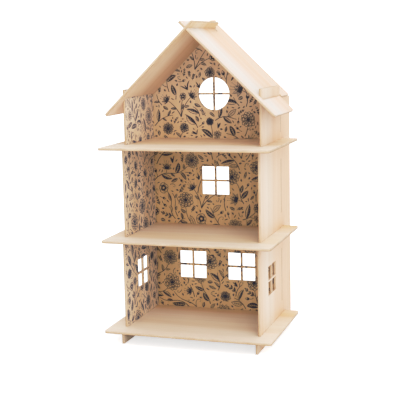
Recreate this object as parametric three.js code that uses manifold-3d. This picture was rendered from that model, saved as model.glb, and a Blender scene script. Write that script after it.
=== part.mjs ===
// Slot-together plywood dollhouse: two side walls, a back wall, three floors and two roof panels.
// Units are millimetres, +Z is up, +Y runs from the open front to the back, and X = 0 is the middle.
// Every joint is cut in the panels: cross laps for the floors and the ridge, through tenons for the
// back wall, and tabs that stand up through slots in the roof.

import * as THREE from 'three';
import { mergeVertices } from 'three/addons/utils/BufferGeometryUtils.js';
import Module from 'manifold-3d';

const wasm = await Module();
wasm.setup();

// ---------- driving dimensions ----------
const PLY = 4;                      // thickness of every panel
const GAP = 0.3;                    // clearance on each side of every joint
const WINDOW = 50;                  // side of a square window
const MUNTIN = 3;                   // width of the bars that split a window into four panes
const ROUND_WINDOW_RADIUS = 28.4;
const CORNER_RADIUS = 6;            // free corners of the floors and the eaves

// Side walls. Y = 0 is their front edge at the attic, and each storey below stands further forward.
const ROOM_WIDTH = 230;             // between the side walls' inner faces
const ATTIC_FRONT = 0;
const MIDDLE_FRONT = -13;
const GROUND_FRONT = -22.5;
const FOOT_FRONT = -39.5;
const WALL_REAR = 192;
const WALL_TOP = 405;               // top edge behind the roof tab
const ROOF_TAB_TOP = 426;
const ROOF_TAB_REAR = 120;

// Floors. All three are the same panel.
const FLOOR_WIDTH = 290;
const FLOOR_FRONT = -55;
const FLOOR_REAR = 145;
const LAP_END = 60;                 // where a floor's slot and a wall's slot meet
const GROUND_LEVEL = 21;            // underside of the ground floor
const STOREY = 154.5;               // from one floor to the next
const MIDDLE_LEVEL = GROUND_LEVEL + STOREY;
const ATTIC_LEVEL = MIDDLE_LEVEL + STOREY;
const TENON_WIDTH = 50;             // tenons at the rear of a floor
const TENON_CENTRE = 62;

// Back wall.
const BACK_FRONT = 124;             // its front face
const APEX_TAB_WIDTH = 10;
const APEX_TAB_TOP = 538;
const SIDE_TENONS = [[48, 142], [206, 300], [346, 386]];   // bottom and top of each side tenon

// Windows.
const SILL = 54.5;                  // from a floor's top to a square window
const BACK_WINDOW_OFFSET = 45.5;    // of the two ground windows from the middle
const SIDE_WINDOW_CENTRE = 57;
const ROUND_WINDOW_LEVEL = 412;

// Roof. The two panels' outer faces cross on the ridge line.
const ROOF_SLOPE = 44;              // degrees
const RIDGE = 526.5;
const ROOF_FRONT = -18.5;
const ROOF_REAR = 172;
const EAVE_REAR = 110;              // rear end of the strip outside each side wall
const EAVE_LENGTH = 203.5;          // down the slope from the ridge line to the eave
const FIN = 13;                     // how far each panel runs on past the ridge line
const RIDGE_LAP = 52;               // where the two panels' ridge slots meet

// ---------- derived sizes ----------
const INNER = ROOM_WIDTH / 2;
const OUTER = INNER + PLY;
const SLOPE = THREE.MathUtils.degToRad(ROOF_SLOPE);
const ALONG = 1 / Math.cos(SLOPE);  // distance down the slope for each millimetre across
const DROP = Math.tan(SLOPE);       // fall of the roof for each millimetre across

// ---------- materials ----------
function plywood(colour, roughness) {
  return new THREE.MeshStandardMaterial({ color: colour, roughness, metalness: 0 });
}

const PRINTED_PLY = 0xd9b48a;
const PLAIN_PLY = 0xe9d6ba;

// ---------- outlines ----------
// Draws a closed outline through [x, y] corners. A third value rounds that corner to that radius.
function outline(corners) {
  const shape = new THREE.Shape();
  const count = corners.length;
  corners.forEach(([x, y, radius = 0], i) => {
    const corner = new THREE.Vector2(x, y);
    const before = new THREE.Vector2(...corners[(i + count - 1) % count]).sub(corner).setLength(radius);
    const after = new THREE.Vector2(...corners[(i + 1) % count]).sub(corner).setLength(radius);
    const start = corner.clone().add(before);
    if (i === 0) shape.moveTo(start.x, start.y);
    else shape.lineTo(start.x, start.y);
    if (radius > 0) shape.quadraticCurveTo(x, y, x + after.x, y + after.y);
  });
  shape.closePath();
  return shape;
}

function rectangle(left, bottom, right, top) {
  return outline([[left, bottom], [right, bottom], [right, top], [left, top]]);
}

// The four signs of the quadrants around a window's crossed bars.
const QUADRANTS = [[1, 1], [-1, 1], [-1, -1], [1, -1]];

function squareWindow(x, y) {
  const near = MUNTIN / 2;
  const far = WINDOW / 2;
  return QUADRANTS.map(([sx, sy]) => rectangle(
    x + Math.min(sx * near, sx * far),
    y + Math.min(sy * near, sy * far),
    x + Math.max(sx * near, sx * far),
    y + Math.max(sy * near, sy * far),
  ));
}

function roundWindow(x, y) {
  const near = MUNTIN / 2;
  const edge = Math.asin(near / ROUND_WINDOW_RADIUS);
  return QUADRANTS.map(([sx, sy], quadrant) => {
    const start = quadrant * Math.PI / 2 + edge;
    const end = (quadrant + 1) * Math.PI / 2 - edge;
    const pane = new THREE.Shape();
    pane.moveTo(x + sx * near, y + sy * near);
    pane.lineTo(x + ROUND_WINDOW_RADIUS * Math.cos(start), y + ROUND_WINDOW_RADIUS * Math.sin(start));
    pane.absarc(x, y, ROUND_WINDOW_RADIUS, start, end, false);
    pane.closePath();
    return pane;
  });
}

// ---------- panels ----------
// A closed solid from an outline, from startDepth up to endDepth along +Z.
function slab(shape, startDepth, endDepth) {
  const options = { depth: endDepth - startDepth, bevelEnabled: false, curveSegments: 14 };
  const geometry = new THREE.ExtrudeGeometry(shape, options);
  geometry.translate(0, 0, startDepth);
  geometry.deleteAttribute('normal');
  geometry.deleteAttribute('uv');
  const merged = mergeVertices(geometry);
  const mesh = new wasm.Mesh({
    numProp: 3,
    vertProperties: merged.attributes.position.array,
    triVerts: Uint32Array.from(merged.index.array),
  });
  return new wasm.Manifold(mesh);
}

// A sheet of ply cut to the outline, with each hole cut right through it.
function panel(name, shape, holes, material) {
  let sheet = slab(shape, 0, PLY);
  holes.forEach((hole) => {
    sheet = sheet.subtract(slab(hole, -1, PLY + 1));
  });
  const { vertProperties, triVerts } = sheet.getMesh();
  const geometry = new THREE.BufferGeometry();
  geometry.setAttribute('position', new THREE.BufferAttribute(vertProperties, 3));
  geometry.setIndex(new THREE.BufferAttribute(triVerts, 1));
  geometry.computeVertexNormals();
  const mesh = new THREE.Mesh(geometry, material);
  mesh.name = name;
  return mesh;
}

// Corners of a side wall's front edge around the slot for one floor, from above the slot to below it.
function floorSlot(level, frontAbove, frontBelow) {
  return [
    [frontAbove, level + PLY + GAP],
    [LAP_END + GAP, level + PLY + GAP],
    [LAP_END + GAP, level - GAP],
    [frontBelow, level - GAP],
  ];
}

// Drawn as [Y, Z] and turned so that its thickness runs along +X from startX.
function sideWall(name, startX) {
  const shape = outline([
    [FOOT_FRONT, 0],
    [WALL_REAR, 0],
    [WALL_REAR, WALL_TOP],
    [ROOF_TAB_REAR, WALL_TOP],
    [ROOF_TAB_REAR, ROOF_TAB_TOP],
    [ATTIC_FRONT, ROOF_TAB_TOP],
    ...floorSlot(ATTIC_LEVEL, ATTIC_FRONT, MIDDLE_FRONT),
    ...floorSlot(MIDDLE_LEVEL, MIDDLE_FRONT, GROUND_FRONT),
    ...floorSlot(GROUND_LEVEL, GROUND_FRONT, FOOT_FRONT),
  ]);
  const mortises = SIDE_TENONS.map(([bottom, top]) => rectangle(
    BACK_FRONT - GAP, bottom - GAP, BACK_FRONT + PLY + GAP, top + GAP,
  ));
  const windowLevel = GROUND_LEVEL + PLY + SILL + WINDOW / 2;
  const holes = [...mortises, ...squareWindow(SIDE_WINDOW_CENTRE, windowLevel)];
  const mesh = panel(name, shape, holes, plywood(PRINTED_PLY, 0.62));
  mesh.quaternion.setFromAxisAngle(new THREE.Vector3(1, 1, 1).normalize(), 2 * Math.PI / 3);
  mesh.position.x = startX;
  return mesh;
}

// Drawn in the XZ plane: a gable with side tenons and an apex tab.
function backWall() {
  const edge = INNER - GAP;
  const underside = (x) => RIDGE - (PLY + GAP) * ALONG - x * DROP;
  const rightTenons = SIDE_TENONS.flatMap(([bottom, top]) => [
    [edge, bottom], [OUTER, bottom], [OUTER, top], [edge, top],
  ]);
  const rightHalf = [
    [edge, 0],
    ...rightTenons,
    [edge, underside(edge)],
    [APEX_TAB_WIDTH / 2, underside(APEX_TAB_WIDTH / 2)],
    [APEX_TAB_WIDTH / 2, APEX_TAB_TOP],
  ];
  const leftHalf = rightHalf.map(([x, z]) => [-x, z]).reverse();
  const mortises = [GROUND_LEVEL, MIDDLE_LEVEL, ATTIC_LEVEL].flatMap((level) => [-1, 1].map((side) => {
    const centre = side * TENON_CENTRE;
    const reach = TENON_WIDTH / 2 + GAP;
    return rectangle(centre - reach, level - GAP, centre + reach, level + PLY + GAP);
  }));
  const groundWindows = GROUND_LEVEL + PLY + SILL + WINDOW / 2;
  const holes = [
    ...mortises,
    ...squareWindow(-BACK_WINDOW_OFFSET, groundWindows),
    ...squareWindow(BACK_WINDOW_OFFSET, groundWindows),
    ...squareWindow(0, groundWindows + STOREY),
    ...roundWindow(0, ROUND_WINDOW_LEVEL),
  ];
  const mesh = panel('back_wall', outline([...rightHalf, ...leftHalf]), holes, plywood(PRINTED_PLY, 0.62));
  mesh.rotation.x = Math.PI / 2;
  mesh.position.y = BACK_FRONT + PLY;
  return mesh;
}

// Two slots from the rear cross the side walls, and two tenons pass through the back wall.
function floor(name, level) {
  const side = FLOOR_WIDTH / 2;
  const rightRear = [
    [side, FLOOR_REAR, CORNER_RADIUS],
    [OUTER + GAP, FLOOR_REAR],
    [OUTER + GAP, LAP_END],
    [INNER - GAP, LAP_END],
    [INNER - GAP, BACK_FRONT - GAP],
    [TENON_CENTRE + TENON_WIDTH / 2, BACK_FRONT - GAP],
    [TENON_CENTRE + TENON_WIDTH / 2, FLOOR_REAR],
    [TENON_CENTRE - TENON_WIDTH / 2, FLOOR_REAR],
    [TENON_CENTRE - TENON_WIDTH / 2, BACK_FRONT - GAP],
  ];
  const leftRear = rightRear.map(([x, y, radius]) => [-x, y, radius]).reverse();
  const front = [[-side, FLOOR_FRONT, CORNER_RADIUS], [side, FLOOR_FRONT, CORNER_RADIUS]];
  const mesh = panel(name, outline([...front, ...rightRear, ...leftRear]), [], plywood(PLAIN_PLY, 0.6));
  mesh.position.z = level;
  return mesh;
}

// A roof panel's corners are [distance down the slope from the ridge line, Y]. The side wall's tab is
// upright in a sloping panel, so its slot is wider than the ply.
const TAB_SLOT_TOP = INNER * ALONG - GAP;
const TAB_SLOT_BOTTOM = OUTER * ALONG + PLY * DROP + GAP;
const APEX_SLOT_BOTTOM = (APEX_TAB_WIDTH / 2) * ALONG + PLY * DROP + GAP;

// Behind the tab the panel runs on down until its lower edge is just above the side wall's top.
const REAR_LENGTH = (RIDGE - WALL_TOP - GAP - PLY * Math.cos(SLOPE)) / Math.sin(SLOPE);

// From the front of the eave to the rear of the main panel.
const EAVE_CORNERS = [
  [EAVE_LENGTH, ROOF_FRONT, CORNER_RADIUS],
  [EAVE_LENGTH, EAVE_REAR, CORNER_RADIUS],
  [TAB_SLOT_BOTTOM, EAVE_REAR],
  [TAB_SLOT_BOTTOM, ATTIC_FRONT - GAP],
  [TAB_SLOT_TOP, ATTIC_FRONT - GAP],
  [TAB_SLOT_TOP, ROOF_TAB_REAR + GAP],
  [REAR_LENGTH, ROOF_TAB_REAR + GAP],
  [REAR_LENGTH, ROOF_REAR],
];

// The right panel is slotted at the front of the ridge, and its fin runs the whole depth except for a
// notch around the back wall's apex tab.
const RIGHT_ROOF_CORNERS = [
  [-FIN, ROOF_FRONT],
  [-GAP, ROOF_FRONT],
  [-GAP, RIDGE_LAP + GAP],
  [PLY + GAP, RIDGE_LAP + GAP],
  [PLY + GAP, ROOF_FRONT],
  ...EAVE_CORNERS,
  [-FIN, ROOF_REAR],
  [-FIN, BACK_FRONT + PLY + GAP],
  [APEX_SLOT_BOTTOM, BACK_FRONT + PLY + GAP],
  [APEX_SLOT_BOTTOM, BACK_FRONT - GAP],
  [-FIN, BACK_FRONT - GAP],
];

// The left panel is slotted at the rear of the ridge, and its fin stops at the back wall.
const LEFT_ROOF_CORNERS = [
  [-FIN, ROOF_FRONT],
  ...EAVE_CORNERS,
  [PLY + GAP, ROOF_REAR],
  [PLY + GAP, BACK_FRONT + PLY + GAP],
  [APEX_SLOT_BOTTOM, BACK_FRONT + PLY + GAP],
  [APEX_SLOT_BOTTOM, BACK_FRONT - GAP],
  [PLY + GAP, BACK_FRONT - GAP],
  [PLY + GAP, RIDGE_LAP - GAP],
  [-GAP, RIDGE_LAP - GAP],
  [-GAP, BACK_FRONT - GAP],
  [-FIN, BACK_FRONT - GAP],
];

// side is 1 for the right panel and -1 for the left one. The outer face lies at the ridge line.
function roofPanel(name, side, corners) {
  const shape = outline(corners.map(([down, y, radius]) => [side * down, y, radius]));
  const mesh = panel(name, shape, [], plywood(PLAIN_PLY, 0.6));
  mesh.geometry.translate(0, 0, -PLY);
  mesh.rotation.y = side * SLOPE;
  mesh.position.z = RIDGE;
  return mesh;
}

// ---------- assembly ----------
const dollhouse = new THREE.Group();
dollhouse.add(
  sideWall('left_wall', -OUTER),
  sideWall('right_wall', INNER),
  backWall(),
  floor('ground_floor', GROUND_LEVEL),
  floor('middle_floor', MIDDLE_LEVEL),
  floor('attic_floor', ATTIC_LEVEL),
  roofPanel('left_roof', -1, LEFT_ROOF_CORNERS),
  roofPanel('right_roof', 1, RIGHT_ROOF_CORNERS),
);
// The origin is under the middle of the footprint.
dollhouse.position.y = -(FLOOR_FRONT + WALL_REAR) / 2;

export default dollhouse;
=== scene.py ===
"""Looks of the slot-together plywood dollhouse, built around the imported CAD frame.

Eight ply panels keep their CAD shape and get birch ply materials with grain, laser-cut edges and ply
layers. The inner faces of the three walls carry a botanical line print, made here as thin closed pieces
of ink: a generic pattern of flowers, leaves and sprigs grown from seeded random numbers.
Lengths in the print section are millimetres on the wall, and all others are metres in the row frame.
"""

import math
import random

import bpy
from mathutils import Matrix, Vector
from mathutils.geometry import delaunay_2d_cdt


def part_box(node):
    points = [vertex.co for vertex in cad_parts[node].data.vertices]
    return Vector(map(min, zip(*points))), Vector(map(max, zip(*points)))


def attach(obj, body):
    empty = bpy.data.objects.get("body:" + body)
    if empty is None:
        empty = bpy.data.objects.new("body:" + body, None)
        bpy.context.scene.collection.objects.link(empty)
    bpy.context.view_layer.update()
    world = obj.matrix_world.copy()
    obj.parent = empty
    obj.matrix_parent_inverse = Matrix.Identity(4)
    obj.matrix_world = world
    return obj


MM = 0.001
HALF_PLY = 2 * MM  # half the thickness of every panel

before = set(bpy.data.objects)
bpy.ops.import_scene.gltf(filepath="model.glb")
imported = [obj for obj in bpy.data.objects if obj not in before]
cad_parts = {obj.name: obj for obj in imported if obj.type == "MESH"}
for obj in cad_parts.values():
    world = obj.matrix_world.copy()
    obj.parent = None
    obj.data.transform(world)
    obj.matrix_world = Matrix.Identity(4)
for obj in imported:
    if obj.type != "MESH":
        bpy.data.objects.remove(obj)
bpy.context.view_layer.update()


# ---------- camera, floor and light ----------

CAMERA_AZIMUTH = math.radians(18.244)  # round to the house's right
CAMERA_PITCH = math.radians(9.677)  # looking down
CAMERA_ROLL = math.radians(-1.205)
CAMERA_TARGET = Vector((0.0220, -0.0567, 0.2294))
CAMERA_DISTANCE = 1.6
CAMERA_LENS = 83.37
CAMERA_SENSOR = 36

SKY_LIGHT = 0.95  # strength of the white sky as a light
SKY_SEEN = 2.0  # and as the camera sees it
# name, place, aim, size and watts of each lamp
LAMPS = (
    ("key", (1.4, -2.0, 1.7), (0, 0, 0.25), 2.2, 42),
    ("top", (0.2, -0.2, 2.4), (0, 0, 0.2), 1.8, 13),
)
FLOOR_HALF = 6  # half the side of the floor
PAPER_SHADES = ((0.3, (0.86, 0.885, 0.915)), (0.7, (0.88, 0.905, 0.935)))
GLOW_REACH = (0.14, 0.9)  # distances from the origin between which the floor's own glow grows
GLOW = (0.62, 1.3)  # its strength at those distances
WHITE_LEVEL = 1.2  # scene brightness that the tone curve brings to white
# Film-like tone: deep shadows and a soft shoulder. Pairs of scene brightness and its shown brightness.
TONE_CURVE = (
    (0.10, 0.082),
    (0.20, 0.172),
    (0.30, 0.285),
    (0.40, 0.415),
    (0.50, 0.530),
    (0.65, 0.665),
    (0.80, 0.765),
    (0.95, 0.840),
    (1.10, 0.925),
)


def make_camera():
    sin_a, cos_a = math.sin(CAMERA_AZIMUTH), math.cos(CAMERA_AZIMUTH)
    sin_p, cos_p = math.sin(CAMERA_PITCH), math.cos(CAMERA_PITCH)
    ahead = Vector((-sin_a * cos_p, cos_a * cos_p, -sin_p))
    level = Vector((cos_a, sin_a, 0))
    above = level.cross(ahead)
    cos_r, sin_r = math.cos(CAMERA_ROLL), math.sin(CAMERA_ROLL)
    right = level * cos_r + above * sin_r
    up = above * cos_r - level * sin_r
    data = bpy.data.cameras.new("camera")
    data.lens = CAMERA_LENS
    data.sensor_width = CAMERA_SENSOR
    data.clip_start = 0.01
    data.clip_end = 50
    camera = bpy.data.objects.new("camera", data)
    place = CAMERA_TARGET - ahead * CAMERA_DISTANCE
    camera.matrix_world = Matrix(
        (
            (right.x, up.x, -ahead.x, place.x),
            (right.y, up.y, -ahead.y, place.y),
            (right.z, up.z, -ahead.z, place.z),
            (0, 0, 0, 1),
        )
    )
    bpy.context.scene.collection.objects.link(camera)
    bpy.context.scene.camera = camera


def area_light(name, place, aim, size, watts):
    data = bpy.data.lights.new(name, "AREA")
    data.shape = "SQUARE"
    data.size = size
    data.energy = watts
    light = bpy.data.objects.new(name, data)
    light.location = place
    light.rotation_euler = (Vector(aim) - Vector(place)).to_track_quat("-Z", "Y").to_euler()
    bpy.context.scene.collection.objects.link(light)


def set_tone():
    view = bpy.context.scene.view_settings
    view.view_transform = "Standard"
    view.look = "None"
    view.use_curve_mapping = True
    tone = view.curve_mapping
    tone.white_level = (WHITE_LEVEL,) * 3
    combined = tone.curves[3]
    for brightness, shown in TONE_CURVE:
        combined.points.new(brightness / WHITE_LEVEL, shown)
    tone.update()


def make_studio():
    scene = bpy.context.scene
    world = bpy.data.worlds.new("studio")
    scene.world = world
    world.use_nodes = True
    nodes, links = world.node_tree.nodes, world.node_tree.links
    background = nodes["Background"]
    path = nodes.new("ShaderNodeLightPath")
    strength = nodes.new("ShaderNodeMapRange")
    strength.inputs["To Min"].default_value = SKY_LIGHT
    strength.inputs["To Max"].default_value = SKY_SEEN
    links.new(path.outputs["Is Camera Ray"], strength.inputs["Value"])
    links.new(strength.outputs["Result"], background.inputs["Strength"])
    background.inputs["Color"].default_value = (1, 1, 1, 1)
    for lamp in LAMPS:
        area_light(*lamp)


def make_floor():
    mesh = bpy.data.meshes.new("studio_floor")
    half = FLOOR_HALF
    corners = [(-half, -half, 0), (half, -half, 0), (half, half, 0), (-half, half, 0)]
    mesh.from_pydata(corners, [], [(0, 1, 2, 3)])
    floor = bpy.data.objects.new("studio_floor", mesh)
    bpy.context.scene.collection.objects.link(floor)
    material = bpy.data.materials.new("studio_paper")
    material.use_nodes = True
    graph = Graph(material)
    grain = graph.noise(graph.coordinates(), 9, 3)
    graph.feed("Base Color", graph.ramp(grain, PAPER_SHADES))
    graph.shader.inputs["Roughness"].default_value = 0.9
    graph.shader.inputs["Specular IOR Level"].default_value = 0.1
    # painted light: a glow that only the camera sees, growing away from the house, turns the paper whiter
    # there
    away = graph.vector("LENGTH", graph.coordinates(), None)
    graph.shader.inputs["Emission Color"].default_value = (1, 1, 1, 1)
    seen = graph.node("LightPath").outputs["Is Camera Ray"]
    graph.feed("Emission Strength", graph.math("MULTIPLY", seen, graph.span(away, *GLOW_REACH, *GLOW)))
    mesh.materials.append(material)


# ---------- materials ----------


MIX_FIRST, MIX_SECOND, MIX_RESULT = 6, 7, 2  # the colour sockets of a Mix node


class Graph:
    """Short calls for the nodes of one Principled material."""

    def __init__(self, material):
        self.tree = material.node_tree
        self.shader = self.tree.nodes["Principled BSDF"]

    def node(self, kind, **settings):
        made = self.tree.nodes.new("ShaderNode" + kind)
        for name, value in settings.items():
            setattr(made, name, value)
        return made

    def plug(self, socket, value):
        if isinstance(value, bpy.types.NodeSocket):
            self.tree.links.new(value, socket)
        elif value is not None:
            socket.default_value = value

    def feed(self, name, value):
        self.plug(self.shader.inputs[name], value)

    def coordinates(self, output="Object"):
        return self.node("TexCoord").outputs[output]

    def mapped(self, vector, scale=(1, 1, 1), rotation=(0, 0, 0), shift=(0, 0, 0)):
        made = self.node("Mapping")
        self.plug(made.inputs["Vector"], vector)
        made.inputs["Scale"].default_value = scale
        made.inputs["Rotation"].default_value = rotation
        made.inputs["Location"].default_value = shift
        return made.outputs["Vector"]

    def noise(self, vector, scale, detail=2, rough=0.5, distort=0.0):
        made = self.node("TexNoise")
        self.plug(made.inputs["Vector"], vector)
        made.inputs["Scale"].default_value = scale
        made.inputs["Detail"].default_value = detail
        made.inputs["Roughness"].default_value = rough
        made.inputs["Distortion"].default_value = distort
        return made.outputs["Fac"]

    def wave(self, vector, scale, distort, detail=2, detail_scale=1.0, rough=0.5):
        made = self.node("TexWave", wave_type="BANDS", bands_direction="Y", wave_profile="SAW")
        self.plug(made.inputs["Vector"], vector)
        made.inputs["Scale"].default_value = scale
        made.inputs["Distortion"].default_value = distort
        made.inputs["Detail"].default_value = detail
        made.inputs["Detail Scale"].default_value = detail_scale
        made.inputs["Detail Roughness"].default_value = rough
        return made.outputs["Fac"]

    def math(self, operation, first, second=None):
        made = self.node("Math", operation=operation)
        self.plug(made.inputs[0], first)
        self.plug(made.inputs[1], second)
        return made.outputs[0]

    def vector(self, operation, first, second):
        made = self.node("VectorMath", operation=operation)
        self.plug(made.inputs[0], first)
        self.plug(made.inputs[1], second)
        return made.outputs["Value" if operation in ("DOT_PRODUCT", "LENGTH") else "Vector"]

    def span(self, value, low, high, to_low=0.0, to_high=1.0):
        made = self.node("MapRange")
        self.plug(made.inputs["Value"], value)
        limits = (("From Min", low), ("From Max", high), ("To Min", to_low), ("To Max", to_high))
        for name, number in limits:
            made.inputs[name].default_value = number
        return made.outputs["Result"]

    def ramp(self, value, stops):
        made = self.node("ValToRGB")
        self.plug(made.inputs["Fac"], value)
        elements = made.color_ramp.elements
        while len(elements) < len(stops):
            elements.new(0.5)
        for element, (place, colour) in zip(elements, stops):
            element.position = place
            element.color = (*colour, 1)
        return made.outputs["Color"]

    def mix(self, share, first, second):
        made = self.node("Mix", data_type="RGBA")
        self.plug(made.inputs[0], share)
        for socket, colour in ((MIX_FIRST, first), (MIX_SECOND, second)):
            linked = isinstance(colour, bpy.types.NodeSocket)
            self.plug(made.inputs[socket], colour if linked else (*colour, 1))
        return made.outputs[MIX_RESULT]

    def bump(self, height, strength, distance):
        made = self.node("Bump")
        self.plug(made.inputs["Height"], height)
        made.inputs["Strength"].default_value = strength
        made.inputs["Distance"].default_value = distance
        self.feed("Normal", made.outputs["Normal"])


# Rotations that turn a panel's own directions onto X along the grain, Y across it and Z through the ply.
GRAIN_UP_SIDE = (0, math.radians(90), 0)  # side walls: thickness along X, grain upright
GRAIN_UP_BACK = (math.radians(90), 0, math.radians(90))  # back wall: thickness along Y
GRAIN_ACROSS = (0, 0, 0)  # floors: grain from side to side
ROOF_SLOPE = math.radians(44)

# dark, middle and pale tones of each veneer
CHALK = ((0.67, 0.605, 0.530), (0.73, 0.672, 0.608), (0.77, 0.727, 0.670))
CREAM = ((0.72, 0.575, 0.450), (0.78, 0.650, 0.530), (0.82, 0.710, 0.600))
PEACH = ((0.66, 0.425, 0.280), (0.73, 0.485, 0.330), (0.78, 0.550, 0.395))
HONEY = ((0.64, 0.435, 0.250), (0.71, 0.500, 0.305), (0.76, 0.570, 0.375))
AMBER = ((0.68, 0.500, 0.345), (0.75, 0.570, 0.405), (0.80, 0.640, 0.470))
PALE_HONEY = ((0.76, 0.590, 0.445), (0.84, 0.670, 0.530), (0.88, 0.730, 0.595))
GOLDEN = ((0.54, 0.360, 0.175), (0.63, 0.435, 0.225), (0.69, 0.500, 0.280))
# The three paler golden tones below are painted light on the printed faces: near the open front of the side
# walls and up in the attic.
ATTIC_LIT_PALE_GOLDEN = ((0.64, 0.475, 0.310), (0.74, 0.565, 0.395), (0.80, 0.635, 0.465))
FRONT_LIT_GOLDEN = ((0.69, 0.540, 0.400), (0.79, 0.635, 0.490), (0.85, 0.705, 0.560))
ATTIC_LIT_GOLDEN = ((0.78, 0.645, 0.520), (0.88, 0.745, 0.615), (0.92, 0.805, 0.685))
PINK_STREAK = (0.80, 0.575, 0.455)
PORE = (0.42, 0.27, 0.14)
SCORCH = (0.33, 0.19, 0.09)
EDGE_SCORCH = 0.35  # the most that scorch covers of a cut edge
# Through the ply: toasted arris, pale face ply, glue line, core ply, and the same back to the other arris.
PLY_LAYERS = (
    (0.00, (0.32, 0.19, 0.10)),
    (0.14, (0.36, 0.22, 0.12)),
    (0.26, (0.66, 0.49, 0.36)),
    (0.33, (0.66, 0.50, 0.37)),
    (0.37, (0.46, 0.31, 0.19)),
    (0.50, (0.60, 0.44, 0.31)),
    (0.64, (0.46, 0.31, 0.19)),
    (0.68, (0.68, 0.52, 0.39)),
    (0.88, (0.70, 0.54, 0.41)),
    (1.00, (0.42, 0.28, 0.17)),
)

FACE_ON = 0.75  # a face is on the printed side when its normal leans that way by more than this
EDGE_ON = 0.6  # and it is a cut edge when its normal leans less than this to either side

ACROSS, REARWARD, UPWARD = Vector((1, 0, 0)), Vector((0, 1, 0)), Vector((0, 0, 1))
# One veneer gives way to another along a drift, which grows by so much for each metre in X, Y and Z, while
# the strips' noise plus that drift goes from the first value of a turning to the second. The darker veneer
# towards the rear is the wood's own tone on the right wall and right roof, but on the floors it is partly
# painted shade where the storey above shades their rear, and on the printed faces the darker rear tones are
# painted shade. The drift towards the ridge on the left roof is painted shade.
TO_REAR = (0, 2.4, 0)
# painted shade: the left roof's underside turns to darker honey up towards the ridge and rear
SHADE_TO_RIDGE = (0, 0.8, 3.0)
WALL_TURNING = (0.12, 0.46)
ROOF_TURNING = (0.28, 0.62)
RIDGE_SHADE_TURNING = (1.60, 1.98)
PRINT_TURNING = (0.40, 0.72)
PRINT_LIT_HEIGHTS = (0.34, 0.46)  # heights between which the printed faces turn to their paler upper tones, painted light towards the attic


# How often each pattern of the wood repeats in a metre along the grain, across it and through the ply.
FIGURE_PITCH = (1.2, 9, 9)
BAND_PITCH = (1.6, 34, 34)
FIBRE_PITCH = (22, 620, 620)
BLOTCH_PITCH = (5, 9, 9)
STRIP_PITCH = (0.9, 15, 15)
STREAK_PITCH = (1.4, 70, 70)
PORE_PITCH = (260, 2600, 2600)
SCORCH_PITCH = (900, 900, 900)
UNEVEN_PITCH = (40, 40, 40)
SEED_SHIFT = (0.37, 0.73, 0.11)  # how far each seed moves the patterns
FIGURE, BANDS, FIBRES, BLOTCHES = 0.16, 0.50, 0.30, 0.34  # what each adds to the tone
TONE_RANGE = (0.38, 0.92)


def grain_tone(graph, flat, seed):
    """0 to 1: slow figure, tone bands, fibres and blotches of rotary-cut veneer."""
    moved = graph.mapped(flat, shift=[seed * step for step in SEED_SHIFT])
    figure = graph.wave(graph.mapped(moved, FIGURE_PITCH), 1.1, 5.5, 3, 0.9, 0.55)
    bands = graph.noise(graph.mapped(moved, BAND_PITCH), 1, 3, 0.55, 0.3)
    fibres = graph.noise(graph.mapped(moved, FIBRE_PITCH), 1, 3, 0.6)
    blotch = graph.noise(graph.mapped(moved, BLOTCH_PITCH), 1, 2, 0.5)
    total = graph.math("MULTIPLY", figure, FIGURE)
    for part, share in ((bands, BANDS), (fibres, FIBRES), (blotch, BLOTCHES)):
        total = graph.math("ADD", total, graph.math("MULTIPLY", part, share))
    return graph.span(total, *TONE_RANGE), fibres, moved


def three_tones(graph, tone, tones):
    return graph.ramp(tone, list(zip((0.0, 0.5, 1.0), tones)))


def printed_wood(graph, place, tone, strips, further, tones):
    """The darker wood under the print: front tones, rear tones, and upper tones towards the attic. The
    paler front and upper tones are painted light, where more light falls in at the open front and into the
    attic, and the darker rear tones are painted shade.
    """
    front, rear, upper = tones
    # painted shade: from the front tones to the darker rear tones
    deep = graph.span(further, *PRINT_TURNING)
    base = graph.mix(deep, three_tones(graph, tone, front), three_tones(graph, tone, rear))
    # painted light: paler upper tones towards the attic
    height = graph.vector("DOT_PRODUCT", place, UPWARD)
    level = graph.math("ADD", height, graph.math("MULTIPLY", strips, 0.1))
    return graph.mix(graph.span(level, *PRINT_LIT_HEIGHTS), base, three_tones(graph, tone, upper))


def cut_edge(graph, place, thickness_axis, middle):
    """Plies seen end on, toasted by the laser."""
    depth = graph.math("SUBTRACT", graph.vector("DOT_PRODUCT", place, thickness_axis), middle)
    layers = graph.ramp(graph.span(depth, -HALF_PLY, HALF_PLY), PLY_LAYERS)
    scorch = graph.noise(graph.mapped(place, SCORCH_PITCH), 1, 3, 0.6)
    uneven = graph.noise(graph.mapped(place, UNEVEN_PITCH), 1, 2, 0.5)
    burnt = graph.span(graph.math("ADD", graph.math("MULTIPLY", scorch, 0.5), uneven), 0.6, 0.95)
    return graph.mix(graph.math("MULTIPLY", burnt, EDGE_SCORCH), layers, SCORCH)


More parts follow.
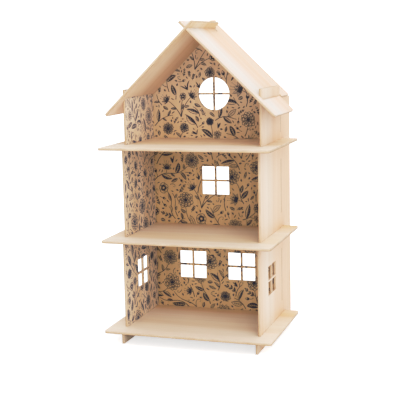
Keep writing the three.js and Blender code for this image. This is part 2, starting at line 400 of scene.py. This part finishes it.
def ply_material(name, turn, thickness_axis, middle, seed, veneers, drift, turning, printed=None):
    """Birch ply. thickness_axis is the panel's direction through the ply and middle its centre plane's
    distance along it. The first of veneers gives way to the second along drift, over the values in
    turning; on the floors that drift is partly painted shade, and on the left roof it is painted shade.
    printed is for a panel with a printed face: -1 or 1 tells which side it is, and three sets of
    tones follow: front, rear and upper, whose paler front and upper tones are painted light."""
    material = bpy.data.materials.new(name)
    material.use_nodes = True
    graph = Graph(material)
    place = graph.coordinates()
    flat = graph.mapped(place, rotation=turn)
    tone, fibres, moved = grain_tone(graph, flat, seed)
    # broad strips of paler and warmer veneer, with pink streaks
    strips = graph.noise(graph.mapped(moved, STRIP_PITCH), 1, 1, 0.4)
    # the drift added here carries painted shade on some panels: towards the rear of the floors and printed
    # faces, and up towards the ridge of the left roof
    further = graph.math("ADD", strips, graph.vector("DOT_PRODUCT", place, Vector(drift)))
    share = graph.span(further, *turning)
    face = graph.mix(share, three_tones(graph, tone, veneers[0]), three_tones(graph, tone, veneers[1]))
    streaks = graph.noise(graph.mapped(moved, STREAK_PITCH), 1, 2, 0.5)
    face = graph.mix(graph.span(streaks, 0.50, 0.72, 0.0, 0.45), face, PINK_STREAK)
    facing = graph.vector("DOT_PRODUCT", graph.coordinates("Normal"), thickness_axis)
    if printed:
        side, *tones = printed
        on_print = graph.math("GREATER_THAN", graph.math("MULTIPLY", facing, side), FACE_ON)
        face = graph.mix(on_print, face, printed_wood(graph, place, tone, strips, further, tones))
    # fine dark pores, a millimetre or two long
    pores = graph.noise(graph.mapped(moved, PORE_PITCH), 1, 1, 0.5)
    pore = graph.span(pores, 0.66, 0.78)
    face = graph.mix(graph.math("MULTIPLY", pore, 0.30), face, PORE)
    on_edge = graph.math("LESS_THAN", graph.math("ABSOLUTE", facing), EDGE_ON)
    edge = cut_edge(graph, place, thickness_axis, middle)
    graph.feed("Base Color", graph.mix(on_edge, face, edge))
    rough = graph.span(fibres, 0.3, 0.7, 0.62, 0.48)
    graph.feed("Roughness", graph.math("ADD", rough, graph.math("MULTIPLY", pore, 0.1)))
    graph.shader.inputs["Specular IOR Level"].default_value = 0.42
    relief = graph.math("SUBTRACT", fibres, graph.math("MULTIPLY", pore, 0.6))
    graph.bump(relief, 0.35, 0.06 * MM)
    return material


# where the ink is thick, middling and thin
DARK_INK = ((0.016, 0.020, 0.045), (0.030, 0.035, 0.064), (0.105, 0.090, 0.090))
SOFT_INK = ((0.045, 0.058, 0.110), (0.072, 0.086, 0.140), (0.160, 0.150, 0.160))
# painted highlight: the pale veil that light lays on the ink up in the attic
SHEEN_INK = (0.42, 0.38, 0.40)
INK_SHEEN_HEIGHTS = (0.32, 0.42)  # heights between which the ink turns paler, a painted highlight towards the attic
DARK_SHEEN, SOFT_SHEEN = 0.03, 0.38  # and by how much, on the back wall and on the side walls


def ink_material(name, tones, sheen):
    """Dry navy ink on veneer: the fibres show as paler lines and the solids are a little mottled. Towards
    the attic it turns to a paler ink by the share given after the tones: a painted highlight for the light
    that catches the ink there."""
    material = bpy.data.materials.new(name)
    material.use_nodes = True
    graph = Graph(material)
    place = graph.coordinates()
    fibres = graph.noise(graph.mapped(place, (620, 620, 40)), 1, 3, 0.6)
    mottle = graph.noise(place, 260, 3, 0.6)
    thin = graph.math("ADD", graph.math("MULTIPLY", fibres, 0.6), graph.math("MULTIPLY", mottle, 0.5))
    colour = graph.ramp(graph.span(thin, 0.35, 0.85), list(zip((0.0, 0.55, 1.0), tones)))
    level = graph.vector("DOT_PRODUCT", place, UPWARD)
    # painted highlight: paler ink higher up
    colour = graph.mix(graph.span(level, *INK_SHEEN_HEIGHTS, 0.0, sheen), colour, SHEEN_INK)
    graph.feed("Base Color", colour)
    graph.feed("Roughness", graph.span(mottle, 0.3, 0.7, 0.50, 0.66))
    graph.shader.inputs["Specular IOR Level"].default_value = 0.35
    graph.bump(fibres, 0.25, 0.03 * MM)
    return material


FACET = math.radians(1)  # flatter joins between facets than this are merged
ARRIS = math.radians(35)  # sharper edges than this are broken
BREAK = 0.25 * MM


def dress(node, material):
    """Gives a CAD node its material and breaks its edges."""
    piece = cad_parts[node]
    piece.data.materials.clear()
    piece.data.materials.append(material)
    flat = piece.modifiers.new("flat_faces", "DECIMATE")
    flat.decimate_type = "DISSOLVE"
    flat.angle_limit = FACET
    soft = piece.modifiers.new("broken_edges", "BEVEL")
    soft.width = BREAK
    soft.segments = 2
    soft.limit_method = "ANGLE"
    soft.angle_limit = ARRIS


def centre(node):
    low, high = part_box(node)
    return (low + high) / 2


def dress_panels():
    # front, rear and upper tones of the printed faces; the paler front and upper ones are painted light
    side_print = (FRONT_LIT_GOLDEN, GOLDEN, ATTIC_LIT_GOLDEN)
    back_print = (GOLDEN, GOLDEN, ATTIC_LIT_PALE_GOLDEN)
    panels = (
        ("left_wall", GRAIN_UP_SIDE, ACROSS, (CREAM, PEACH), WALL_TURNING, (1, *side_print)),
        ("right_wall", GRAIN_UP_SIDE, ACROSS, (CREAM, PEACH), WALL_TURNING, (-1, *side_print)),
        ("back_wall", GRAIN_UP_BACK, REARWARD, (CREAM, PEACH), WALL_TURNING, (-1, *back_print)),
        # on the floors the honey and amber veneer grows towards the rear partly as painted shade, where the
        # storey above shades them
        ("ground_floor", GRAIN_ACROSS, UPWARD, (CREAM, HONEY), (0.46, 0.78), None),
        ("middle_floor", GRAIN_ACROSS, UPWARD, (CREAM, HONEY), (0.28, 0.62), None),
        ("attic_floor", GRAIN_ACROSS, UPWARD, (CREAM, AMBER), (0.18, 0.52), None),
    )
    for seed, (node, turn, axis, veneers, turning, printed) in enumerate(panels, 1):
        middle = centre(node).dot(axis)
        name = "ply_" + node
        dress(node, ply_material(name, turn, axis, middle, seed, veneers, TO_REAR, turning, printed))
    roofs = (
        # painted shade: the left roof is pale honey at its front eave and darker honey up towards the ridge
        (9, "left_roof", -1, (PALE_HONEY, HONEY), SHADE_TO_RIDGE, RIDGE_SHADE_TURNING),
        (10, "right_roof", 1, (CHALK, PEACH), TO_REAR, ROOF_TURNING),
    )
    for seed, node, sign, veneers, drift, turning in roofs:
        axis = Vector((sign * math.sin(ROOF_SLOPE), 0, math.cos(ROOF_SLOPE)))
        turn = (0, -sign * ROOF_SLOPE, 0)
        spots = [v.co.dot(axis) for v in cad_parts[node].data.vertices]
        middle = max(spots) - HALF_PLY
        dress(node, ply_material("ply_" + node, turn, axis, middle, seed, veneers, drift, turning))


# ---------- the botanical print ----------
# A motif is a list of marks, drawn in order: (points, INK) prints and (points, BARE) leaves wood showing.

INK = 1
BARE = 0
FINEST = 0.05  # the print's outlines are true to this
SPECK = 0.06  # square millimetres below which a drop or gap of ink is left out
LINE = 0.95  # width of a drawn line
VEINED = 4.5  # a sprig's leaf longer than this has a bare vein
UP = math.pi / 2
X, Y = 0, 1  # axis numbers


def along(x, y, angle, distance):
    return x + distance * math.cos(angle), y + distance * math.sin(angle)


def curve(x, y, angle, length, bend, count):
    """(x, y, heading) points along a line that turns by bend over its length."""
    points = []
    for i in range(count + 1):
        heading = angle + bend * i / count
        points.append((x, y, heading))
        x, y = along(x, y, heading + bend / count / 2, length / count)
    return points


def blade(x, y, angle, length, width, bend=0.0, belly=0.9, blunt=0.8, count=6):
    """A petal or leaf outline from its base along a curved spine."""
    spine = curve(x, y, angle, length, bend, count)
    left, right = [spine[0][:2]], []
    for i in range(1, count):
        px, py, heading = spine[i]
        half = width / 2 * math.sin(math.pi * (i / count) ** belly) ** blunt
        left.append(along(px, py, heading + UP, half))
        right.append(along(px, py, heading - UP, half))
    return left + [spine[-1][:2]] + right[::-1]


def stroke(points, start, end):
    """A tapering line through (x, y, heading) points."""
    left, right = [], []
    for i, (px, py, heading) in enumerate(points):
        half = (start + (end - start) * i / (len(points) - 1)) / 2
        left.append(along(px, py, heading + UP, half))
        right.append(along(px, py, heading - UP, half))
    return left + right[::-1]


def line(x, y, angle, length, start, end):
    return stroke(curve(x, y, angle, length, 0, 1), start, end)


def dot(x, y, radius, count=7):
    return [along(x, y, 2 * math.pi * i / count, radius) for i in range(count)]


def petal(x, y, angle, length, width, bend=0.0, hatch=2, belly=0.8, blunt=0.7, shade=0.0, count=5):
    """An outlined petal, solid over the shade share nearest its base, with shading lines beyond."""
    marks = [(blade(x, y, angle, length, width, bend, belly, blunt, count), INK)]
    if width > 2.4 * LINE:
        inner = along(x, y, angle, LINE)
        within = blade(*inner, angle, length - 1.9 * LINE, width - 2 * LINE, bend, belly, blunt, count)
        marks.append((within, BARE))
    if shade:
        marks.append((blade(x, y, angle, length * shade, width * 0.72, bend * shade, 0.8, 0.7, 3), INK))
    for k in range(hatch):
        fan = (k - (hatch - 1) / 2) * 0.62 * width / length
        marks.append((line(x, y, angle + fan, length * (0.82 - 0.12 * (k % 2)), LINE * 1.5, 0.35), INK))
    return marks


def rosette(rng, x, y, radius, rings, belly, blunt, fullness, hatch, shade):
    """Rings of petals, each (share of the radius, count), closing towards a dark heart."""
    marks = []
    for share, count in rings:
        turn = rng.uniform(0, 6)
        for k in range(count):
            angle = turn + 2 * math.pi * k / count + rng.uniform(-0.10, 0.10)
            length = radius * share * rng.uniform(0.88, 1.06)
            width = 2 * math.pi * length / count * fullness
            base = along(x, y, angle, length * 0.25)
            twist = rng.uniform(-0.25, 0.25)
            marks += petal(*base, angle, length * 0.75, width, twist, hatch, belly, blunt, shade)
    marks.append((dot(x, y, radius * 0.12), INK))
    return marks


def peony(rng, x, y, radius):
    rings = ((1.0, 11), (0.78, 9), (0.56, 7), (0.34, 5))
    return rosette(rng, x, y, radius, rings, 1.4, 0.5, 0.95, 2, 0.5)


def dahlia(rng, x, y, radius):
    rings = ((1.0, 15), (0.76, 12), (0.52, 9), (0.30, 6))
    return rosette(rng, x, y, radius, rings, 0.95, 0.7, 0.95, 1, 0.5)


def wild_rose(rng, x, y, radius):
    """Five or six wide petals round a ring of stamens."""
    marks = rosette(rng, x, y, radius, ((1.0, rng.choice((5, 6))),), 1.5, 0.45, 0.85, 4, 0.35)
    for k in range(9):
        spot = along(x, y, k * 0.7, radius * 0.36)
        marks.append((dot(*spot, 0.6, 5), INK))
    marks.append((dot(x, y, radius * 0.13, 6), BARE))
    return marks


def aster(rng, x, y, radius):
    """A star of narrow petals round a ringed eye."""
    marks = rosette(rng, x, y, radius, ((1.0, rng.choice((9, 11))),), 1.0, 0.8, 0.62, 0, 0.0)
    marks.append((dot(x, y, radius * 0.30, 9), INK))
    marks.append((dot(x, y, radius * 0.16, 7), BARE))
    return marks


def bell(rng, x, y, angle, size):
    """A side-on flower whose long streaked petals open from a narrow cup."""
    marks = []
    for fan, share in ((-0.9, 0.75), (0.9, 0.75), (-0.5, 1.0), (0.5, 1.0), (0, 0.9)):
        marks += petal(x, y, angle + fan, size * share, size * 0.34, fan, 3, 0.7, 0.8, 0.5, 6)
    for fan in (-0.24, 0.05, 0.3):
        marks.append((line(x, y, angle + fan, size * 1.15, 0.4, 0.3), INK))
        marks.append((dot(*along(x, y, angle + fan, size * 1.17), 0.65, 5), INK))
    return marks


def bud(rng, x, y, angle, size):
    marks = [(blade(x, y, angle, size, size * 0.62, rng.uniform(-0.2, 0.2), 0.75), INK)]
    inner = along(x, y, angle, size * 0.42)
    marks.append((blade(*inner, angle, size * 0.46, size * 0.34, 0, 0.8, 0.8, 4), BARE))
    marks.append((line(*inner, angle, size * 0.4, 0.45, 0.25), INK))
    for side in (-1, 1):
        sepal = blade(x, y, angle + side * 0.75, size * 0.5, size * 0.17, -side * 0.6, 0.8, 0.8, 4)
        marks.append((sepal, INK))
    return marks


def leaf(rng, x, y, angle, length, width):
    """Dark with bare veins, half shaded, or outlined with fine veins."""
    bend = rng.uniform(-0.8, 0.8)
    style = rng.choice(("dark", "dark", "half", "half", "open"))
    steps = 6
    full = blade(x, y, angle, length, width, bend, count=steps)
    spine = curve(x, y, angle, length, bend, steps)
    marks = [(full, INK)]
    if style != "dark":
        inner = along(x, y, angle, LINE)
        marks.append((blade(*inner, angle, length - 2 * LINE, width - 2 * LINE, bend, count=steps), BARE))
    if style == "half":
        marks.append(([p[:2] for p in spine] + full[steps + 1 :], INK))
    for i in range(1, steps - 1):
        px, py, heading = spine[i]
        reach = width * 0.44 * math.sin(math.pi * (i / steps) ** 0.9)
        for side in (-1, 1):
            shaded = style == "dark" or (style == "half" and side == -1)
            vein = line(px, py, heading + side * 0.75, reach, 0.5, 0.25)
            marks.append((vein, BARE if shaded else INK))
    marks.append((stroke(spine, LINE, 0.3), BARE if style == "dark" else INK))
    return marks


def sprig(rng, x, y, angle, length, pairs):
    """A bending stem with pairs of small leaves and one at its tip."""
    spine = curve(x, y, angle, length, rng.uniform(-0.9, 0.9), pairs * 2)
    marks = [(stroke(spine, LINE * 1.2, 0.4), INK)]
    size = length * 0.36
    for i in range(pairs):
        px, py, heading = spine[2 * i + 1]
        for side in (-1, 1):
            tilt = heading + side * rng.uniform(0.65, 0.95)
            long = size * (1 - 0.3 * i / pairs) * rng.uniform(0.85, 1.1)
            marks.append((blade(px, py, tilt, long, long * 0.42, -side * 0.4, count=4), INK))
            if long > VEINED:
                base = along(px, py, tilt, long * 0.25)
                marks.append((line(*base, tilt, long * 0.5, 0.4, 0.25), BARE))
    marks.append((blade(*spine[-1], size * 0.7, size * 0.32, count=4), INK))
    return marks


def berries(rng, x, y, angle, length):
    spine = curve(x, y, angle, length, rng.uniform(-0.7, 0.7), 4)
    marks = [(stroke(spine, LINE, 0.4), INK)]
    for px, py, heading in spine[1:]:
        for side in (-1, 1):
            twig = length * rng.uniform(0.18, 0.26)
            tilt = heading + side * rng.uniform(0.5, 0.9)
            marks.append((line(px, py, tilt, twig, 0.4, 0.35), INK))
            marks.append((dot(*along(px, py, tilt, twig), rng.uniform(0.9, 1.3), 6), INK))
    return marks


def curl(rng, x, y, angle, size):
    """A tendril that tightens to a small spiral."""
    side = rng.choice((-1, 1))
    points = []
    for i in range(11):
        points.append((x, y, angle))
        x, y = along(x, y, angle, size * 0.23 * (1 - i / 15))
        angle += side * (0.14 + 0.065 * i)
    return [(stroke(points, LINE * 1.1, 0.4), INK), (dot(x, y, 0.7, 6), INK)]


def grass(rng, x, y, angle, length):
    """A tuft of long thin blades that bend apart."""
    marks = []
    for k in range(rng.choice((3, 4))):
        fan = rng.uniform(-0.5, 0.5)
        long = length * rng.uniform(0.6, 1.1)
        width = rng.uniform(1.6, 2.4)
        marks.append((blade(x, y, angle + fan, long, width, fan * rng.uniform(1, 3), 0.8, 0.7), INK))
    return marks


def on_twig(flower, rng, x, y, angle, length, size):
    """A flower that is drawn facing its stem's end."""
    twig = curve(x, y, angle, length, rng.uniform(-0.8, 0.8), 4)
    return [(stroke(twig, 0.9, 0.7), INK)] + flower(rng, *twig[-1], size)


def round_on_twig(flower, rng, x, y, angle, length, radius):
    twig = curve(x, y, angle, length, rng.uniform(-0.5, 0.5), 4)
    return [(stroke(twig, 0.9, 0.7), INK)] + flower(rng, *along(*twig[-1], radius * 0.9), radius)


def side_shoot(rng, x, y, angle, size):
    """What grows from the side of a stem: size 1 is full grown."""
    kind = rng.random()
    if kind < 0.56:
        length = size * rng.uniform(19, 28)
        return leaf(rng, x, y, angle, length, length * rng.uniform(0.30, 0.44))
    if kind < 0.66:
        return on_twig(bud, rng, x, y, angle, size * rng.uniform(5, 10), size * rng.uniform(8, 11))
    if kind < 0.80:
        return on_twig(bell, rng, x, y, angle, size * rng.uniform(5, 10), size * rng.uniform(15, 20))
    if kind < 0.88:
        flower = rng.choice((wild_rose, aster, dahlia))
        return round_on_twig(flower, rng, x, y, angle, size * rng.uniform(6, 10), size * rng.uniform(8, 11))
    if kind < 0.96:
        return sprig(rng, x, y, angle, size * rng.uniform(18, 24), 3)
    return curl(rng, x, y, angle, size * rng.uniform(11, 15))


def small_plant(rng, x, y):
    kind = rng.random()
    lean = rng.uniform(0, 4 * UP) if kind > 0.5 else UP + rng.uniform(-0.9, 0.9)
    if kind < 0.16:
        return sprig(rng, x, y, lean, rng.uniform(11, 17), 3)
    if kind < 0.26:
        return berries(rng, x, y, lean, rng.uniform(9, 12))
    if kind < 0.50:
        return grass(rng, x, y, lean, rng.uniform(12, 20))
    if kind < 0.60:
        return curl(rng, x, y, lean, rng.uniform(7, 11))
    if kind < 0.86:
        return leaf(rng, x, y, lean, rng.uniform(9, 16), rng.uniform(4, 6))
    return on_twig(bud, rng, x, y, lean, rng.uniform(4, 8), rng.uniform(6, 8.5))


def tiny_plant(rng, x, y):
    lean = rng.uniform(0, 4 * UP)
    if rng.random() < 0.35:
        return [(blade(x, y, lean + fan, 3.6, 1.5, count=4), INK) for fan in (-0.8, 0, 0.8)]
    length, width = rng.uniform(4, 8), rng.uniform(1.4, 2.0)
    return [(blade(x, y, lean, length, width, rng.uniform(-0.8, 0.8), count=4), INK)]


CELL = 1.0  # two plants never share a cell of this size, or touch across one
# places tried for each kind of plant, and how far outside the wall one may start
BOUQUETS = 12
BLOSSOMS = 45
VINES = 500
SMALL_PLANTS = 7000
TINY_PLANTS = 9000
OVERHANG = 8


def cells_of(marks):
    """The cells that a plant's marks cross or cover."""
    found = set()
    for points, _ in marks:
        mx = sum(p[0] for p in points) / len(points)
        my = sum(p[1] for p in points) / len(points)
        ring = zip(points, points[1:] + points[:1])
        spokes = [((mx, my), p) for p in points]
        for (ax, ay), (bx, by) in [*ring, *spokes]:
            steps = int(math.hypot(bx - ax, by - ay) / CELL) + 1
            for k in range(steps):
                share = k / steps
                found.add((int((ax + (bx - ax) * share) // CELL), int((ay + (by - ay) * share) // CELL)))
    return found


def margin(cells):
    return {(i + di, j + dj) for i, j in cells for di in (-1, 0, 1) for dj in (-1, 0, 1)}


def grow_along(rng, spine, taken, crowd):
    """Leaves, flowers and shoots on alternate sides of a stem, wherever there is room for them."""
    marks = []
    for i in range(1, len(spine) - 1):
        x, y, heading = spine[i]
        side = 1 if i % 2 else -1
        for size in (1.0, 0.8, 0.62, 0.45):
            shoot = side_shoot(rng, x, y, heading + side * rng.uniform(0.5, 1.1), size)
            cells = cells_of(shoot)
            if not cells & taken and not cells & crowd:
                marks += shoot
                crowd |= margin(cells)
                break
    return marks


def free_stem(spine, taken):
    """The spine up to where it would meet another plant."""
    while len(spine) > 2 and taken & cells_of([(stroke(spine, 1, 1), INK)]):
        spine = spine[:-1]
    return spine


def blossom(rng, x, y, radius, taken):
    """A full flower and the bending stem that it stands on, or nothing where the flower has no room."""
    flower = rng.choice((peony, peony, dahlia))(rng, x, y, radius)
    crowd = cells_of(flower)
    if crowd & taken:
        return [], set()
    crowd = margin(crowd)
    reach = rng.uniform(20, 42)
    bend = rng.choice((-1, 1)) * rng.uniform(0.4, 1.2)
    angle = -UP + rng.uniform(-0.7, 0.7)
    upper = curve(*along(x, y, angle, radius * 0.9), angle, reach, bend, 4)
    spine = free_stem(upper + curve(*upper[-1], reach, -bend, 4)[1:], taken)
    if len(spine) < 3:
        return flower, crowd
    stem = [(stroke(spine, 0.8, 1.4), INK)]
    upward = [(px, py, heading + 2 * UP) for px, py, heading in reversed(spine)]
    shoots = grow_along(rng, upward, taken, crowd)
    return stem + shoots + flower, crowd | margin(cells_of(stem))


def bouquet(rng, x, y, taken):
    """Stems that fan out from one foot, each with leaves along it and a flower at its tip."""
    lean = UP + rng.uniform(-0.35, 0.35)
    marks, grown = [], set()
    for fan in (-0.62, 0.58, -0.22, 0.2):
        spine = curve(x, y, lean + fan * 0.5, rng.uniform(30, 42), fan, 7)
        size = rng.uniform(12, 15)
        if rng.random() < 0.6:
            tip = bell(rng, *spine[-1], size)
        else:
            tip = wild_rose(rng, *along(*spine[-1], size * 0.5), size * 0.55)
        px, py, heading = spine[3]
        side = math.copysign(0.6, fan)
        leaves = leaf(rng, px, py, heading + side, size * 0.9, size * 0.34)
        stem = [(stroke(spine, 1.4, 0.8), INK)]
        cells = cells_of(stem + tip)
        if cells & taken:
            return [], set()
        if not cells_of(tip) & grown:
            marks += stem + tip
            grown |= margin(cells_of(tip))
            if not cells_of(leaves) & (taken | grown):
                marks += leaves
    return marks, margin(cells_of(marks))


def vine(rng, x, y, taken):
    """A long double-bent stem that ends in a small flower."""
    reach = rng.uniform(22, 42)
    bend = rng.choice((-1, 1)) * rng.uniform(0.5, 1.3)
    lower = curve(x, y, UP + rng.uniform(-0.9, 0.9), reach, bend, 4)
    spine = free_stem(lower + curve(*lower[-1], reach, -bend, 4)[1:], taken)
    if len(spine) < 4:
        return [], set()
    stem = [(stroke(spine, 1.3, 0.8), INK)]
    tip, crowd = [], set()
    for size in (1.0, 0.75, 0.55):
        if rng.random() < 0.5:
            tip = bell(rng, *spine[-1], 19 * size)
        else:
            radius = 10 * size
            tip = rng.choice((wild_rose, aster, dahlia))(rng, *along(*spine[-1], radius * 0.85), radius)
        crowd = cells_of(tip)
        if not crowd & taken:
            break
        tip, crowd = [], set()
    crowd = margin(crowd)
    shoots = grow_along(rng, spine, taken, crowd)
    return stem + shoots + tip, crowd | margin(cells_of(stem))


def draw_print(seed, width, height):
    """The plants of one wall's print, each a list of marks, over a rectangle with its corner at 0, 0."""
    rng = random.Random(seed)
    plants, taken = [], set()

    def sow(plant, tries):
        for _ in range(tries):
            x, y = rng.uniform(-OVERHANG, width + OVERHANG), rng.uniform(-OVERHANG, height + OVERHANG)
            if (int(x // CELL), int(y // CELL)) in taken:
                continue
            marks, cells = plant(x, y)
            if marks:
                plants.append(marks)
                taken.update(cells)

    def if_room(grow):
        def plant(x, y):
            marks = grow(rng, x, y)
            cells = cells_of(marks)
            return ([], set()) if cells & taken else (marks, margin(cells))

        return plant

    sow(lambda x, y: bouquet(rng, x, y, taken), BOUQUETS)
    sow(lambda x, y: blossom(rng, x, y, rng.uniform(13.5, 17), taken), BLOSSOMS)
    sow(lambda x, y: blossom(rng, x, y, rng.uniform(9, 12), taken), BLOSSOMS)
    sow(lambda x, y: vine(rng, x, y, taken), VINES)
    sow(if_room(small_plant), SMALL_PLANTS)
    sow(if_room(tiny_plant), TINY_PLANTS)
    return plants


FAR_CORNER = 5  # the cutting reaches this far beyond the loops
WELD = 1e-4  # points closer than this become one


def signed_area(loop):
    return sum(a[0] * b[1] - b[0] * a[1] for a, b in zip(loop, loop[1:] + loop[:1])) / 2


def triangulated(loops):
    """Cuts the plane along closed loops: points, triangles, and the numbers of the loops each lies in."""
    vertices, faces, boxes = [], [], []
    for loop in loops:
        start = len(vertices)
        vertices += [Vector(p) for p in (loop if signed_area(loop) > 0 else loop[::-1])]
        faces.append(list(range(start, len(vertices))))
        xs, ys = [p[0] for p in loop], [p[1] for p in loop]
        boxes.append((min(xs), max(xs), min(ys), max(ys)))
    left, right = min(b[0] for b in boxes) - FAR_CORNER, max(b[1] for b in boxes) + FAR_CORNER
    low, high = min(b[2] for b in boxes) - FAR_CORNER, max(b[3] for b in boxes) + FAR_CORNER
    vertices += [Vector(p) for p in ((left, low), (right, low), (right, high), (left, high))]
    made = delaunay_2d_cdt(vertices, [], faces, 1, WELD)
    points, triangles, insides = made[0], made[2], [set(inside) for inside in made[5]]
    # a loop that crosses itself may come back as all that lies outside it
    inverted = set()
    for triangle, inside in zip(triangles, insides):
        x = sum(points[i][0] for i in triangle) / 3
        y = sum(points[i][1] for i in triangle) / 3
        for k in inside:
            x0, x1, y0, y1 = boxes[k]
            if not (x0 <= x <= x1 and y0 <= y <= y1):
                inverted.add(k)
    return points, triangles, [inside ^ inverted for inside in insides]


def rim_loops(triangles):
    """Boundary loops of flat triangles as point numbers, split wherever a loop touches itself."""
    edges = {edge for t in triangles for edge in zip(t, t[1:] + t[:1])}
    leaving = {}
    for a, b in sorted(edges):
        if (b, a) not in edges:
            leaving.setdefault(a, []).append(b)
    loops = []
    while leaving:
        trail = [next(iter(leaving))]
        place = {trail[0]: 0}
        while trail[-1] in leaving:
            here = trail[-1]
            following = leaving[here].pop()
            if not leaving[here]:
                del leaving[here]
            if following in place:
                closed = trail[place[following] :]
                loops.append(closed)
                del trail[place[following] + 1 :]
                for point in closed[1:]:
                    del place[point]
            else:
                place[following] = len(trail)
                trail.append(following)
    return loops


def smoothed(loop):
    """The loop without the points that its outline doesn't need."""
    kept = []
    for i, point in enumerate(loop):
        before = kept[-1] if kept else loop[-1]
        after = loop[(i + 1) % len(loop)]
        span = after - before
        away = abs(span.cross(point - before)) / max(span.length, 1e-6)
        if away > FINEST or span.length < FINEST:
            kept.append(point)
    return kept


def inked_triangles(marks, outline, holes):
    """Flattens the marks in their drawing order and keeps the inked part inside the panel's outline."""
    points, triangles, insides = triangulated([shape for shape, _ in marks] + holes + [outline])
    first_hole = len(marks)
    panel = first_hole + len(holes)
    inked = []
    for triangle, inside in zip(triangles, insides):
        drawn = [k for k in inside if k < first_hole]
        on_panel = panel in inside and not any(first_hole <= k < panel for k in inside)
        if drawn and on_panel and marks[max(drawn)][1] == INK:
            inked.append(tuple(triangle))
    loops = [smoothed([points[i] for i in loop]) for loop in rim_loops(inked)]
    loops = [loop for loop in loops if len(loop) > 2 and abs(signed_area(loop)) > SPECK]
    if not loops:
        return [], []
    filled = [signed_area(loop) > 0 for loop in loops]
    points, triangles, insides = triangulated(loops)
    plain = []
    for triangle, inside in zip(triangles, insides):
        if sum(1 if filled[k] else -1 for k in inside) > 0:
            plain.append(tuple(triangle))
    return points, plain


ON_LEVEL = 0.01 * MM


def panel_loops(node, across, through, level):
    """Boundary loops, in millimetres on the panel, of a CAD node's face at that level through the ply."""
    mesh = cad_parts[node].data
    heights = [round(v.co[through], 6) for v in mesh.vertices]
    spots = {}
    for i, v in enumerate(mesh.vertices):
        spots[i] = (round(v.co[across] / MM, 3), round(v.co.z / MM, 3))
    edges = {}  # kept in the order in which they were met
    for face in mesh.polygons:
        if any(abs(heights[i] - level) > ON_LEVEL for i in face.vertices):
            continue
        ring = [spots[i] for i in face.vertices]
        for a, b in zip(ring, ring[1:] + ring[:1]):
            if (b, a) in edges:
                del edges[(b, a)]
            else:
                edges[(a, b)] = True
    after = {a: b for a, b in edges}
    loops = []
    while after:
        start, here = after.popitem()
        loop = [start]
        while here != start:
            loop.append(here)
            here = after.pop(here)
        loops.append(loop)
    return loops


INK_DEPTH = 0.06  # proud of the wood
BEYOND = 9  # how far the plain area round the feet reaches past the wall
STOREY_TOPS = [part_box(node)[0].z / MM for node in ("middle_floor", "attic_floor")]
STOREY_NAMES = ("ground", "middle", "attic")


def print_piece(name, points, triangles, onto_wall, material):
    """A closed solid of ink from flat triangles. onto_wall(point, lift) gives a point in the row frame."""
    used = sorted({i for t in triangles for i in t})
    index = {old: new for new, old in enumerate(used)}
    count = len(used)
    vertices = [onto_wall(points[i], 0.0) for i in used] + [onto_wall(points[i], INK_DEPTH) for i in used]
    top = [tuple(index[i] + count for i in t) for t in triangles]
    bottom = [tuple(index[i] for i in reversed(t)) for t in triangles]
    rim = set()
    for t in triangles:
        for a, b in zip(t, t[1:] + t[:1]):
            if (b, a) in rim:
                rim.remove((b, a))
            else:
                rim.add((a, b))
    sides = [(index[a], index[b], index[b] + count, index[a] + count) for a, b in sorted(rim)]
    mesh = bpy.data.meshes.new(name)
    mesh.from_pydata(vertices, [], top + bottom + sides)
    outward = onto_wall((0, 0), 1) - onto_wall((0, 0), 0)
    if mesh.polygons[0].normal.dot(outward) < 0:
        mesh.flip_normals()
    mesh.materials.append(material)
    piece = bpy.data.objects.new(name, mesh)
    bpy.context.scene.collection.objects.link(piece)
    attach(piece, "walls")


def print_wall(node, seed, across, through, level, facing, ink):
    """Prints one wall's inner face. across and through are axis numbers, level is where the face lies and
    facing, -1 or 1, which way it looks."""
    loops = panel_loops(node, across, through, level)
    loops.sort(key=lambda loop: -abs(signed_area(loop)))
    outline, holes = loops[0], loops[1:]
    left = min(p[0] for p in outline)
    width = max(p[0] for p in outline) - left
    height = max(p[1] for p in outline)
    # the feet below the ground floor stay plain
    plain = centre("ground_floor").z / MM
    start, end = left - BEYOND, left + width + BEYOND
    holes.append([(start, -BEYOND), (end, -BEYOND), (end, plain), (start, plain)])
    points, triangles = [], []
    for plant in draw_print(seed, width, height):
        marks = [([(x + left, y) for x, y in shape], tint) for shape, tint in plant]
        spots, inked = inked_triangles(marks, outline, holes)
        triangles += [tuple(i + len(points) for i in t) for t in inked]
        points += spots

    def onto_wall(point, lift):
        spot = [0.0, 0.0, point[1] * MM]
        spot[across] = point[0] * MM
        spot[through] = level + facing * lift * MM
        return Vector(spot)

    bands = {}
    for t in triangles:
        middle = sum(points[i][1] for i in t) / 3
        bands.setdefault(sum(middle > top for top in STOREY_TOPS), []).append(t)
    for storey, part in sorted(bands.items()):
        print_piece(f"{node}_print_{STOREY_NAMES[storey]}", points, part, onto_wall, ink)


def print_walls():
    dark = ink_material("print_ink", DARK_INK, DARK_SHEEN)
    soft = ink_material("print_ink_soft", SOFT_INK, SOFT_SHEEN)
    left_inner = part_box("left_wall")[1].x
    right_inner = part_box("right_wall")[0].x
    back_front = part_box("back_wall")[0].y
    print_wall("left_wall", 11, Y, X, left_inner, 1, soft)
    print_wall("right_wall", 12, Y, X, right_inner, -1, soft)
    print_wall("back_wall", 13, X, Y, back_front, -1, dark)


# ---------- everything ----------

make_camera()
set_tone()
make_studio()
make_floor()
dress_panels()
print_walls()
